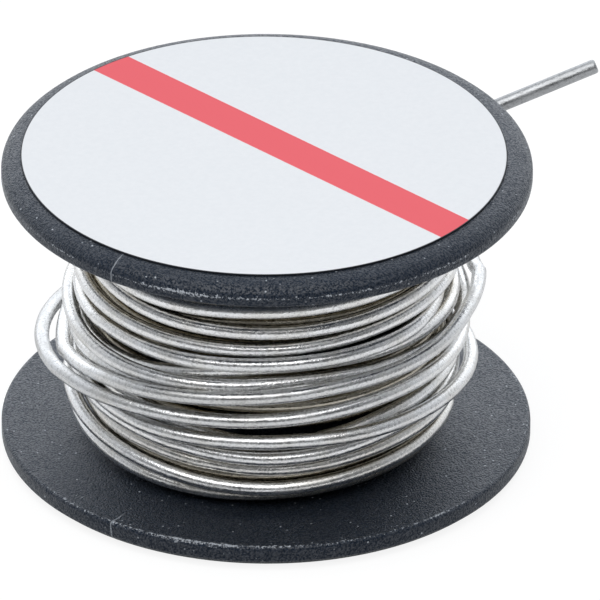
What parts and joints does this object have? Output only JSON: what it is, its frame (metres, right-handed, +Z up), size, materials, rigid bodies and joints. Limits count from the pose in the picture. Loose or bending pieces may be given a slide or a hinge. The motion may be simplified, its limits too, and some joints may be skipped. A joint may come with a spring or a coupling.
{
  "type": "solder wire spool",
  "caption": "Small plastic bobbin with a round face label, loosely wound with flux-cored solder wire whose end stands free; the bobbin turns on a spindle.",
  "frame": {"origin": "centre of the bobbin's lower face, on its axis", "axes": "+Z up along the bobbin's axis towards the labelled flange, -Y towards the front view, +X right"},
  "size_m": [0.0401, 0.0373, 0.0219],
  "materials": {
    "bobbin_plastic": "fine grained moulded polystyrene, worn along the edges",
    "label_paper": "coated paper with a printed red band",
    "solder_wire": "drawn tin alloy, bright with dull scuffs",
    "rosin_flux": "clear amber rosin"
  },
  "bodies": {
    "bobbin": {"lower_flange": "bobbin_plastic", "hub_barrel": "bobbin_plastic", "upper_flange": "bobbin_plastic", "face_label": "label_paper"},
    "winding": {"inner_turns": "solder_wire", "outer_turns": "solder_wire", "free_end": "solder_wire", "flux_core": "rosin_flux"}
  },
  "joints": [
    {"name": "winding_turn", "type": "hinge", "parent": "bobbin", "child": "winding", "pos_m": [0, 0, 0.011], "axis": [0, 0, 1], "continuous": true}
  ]
}
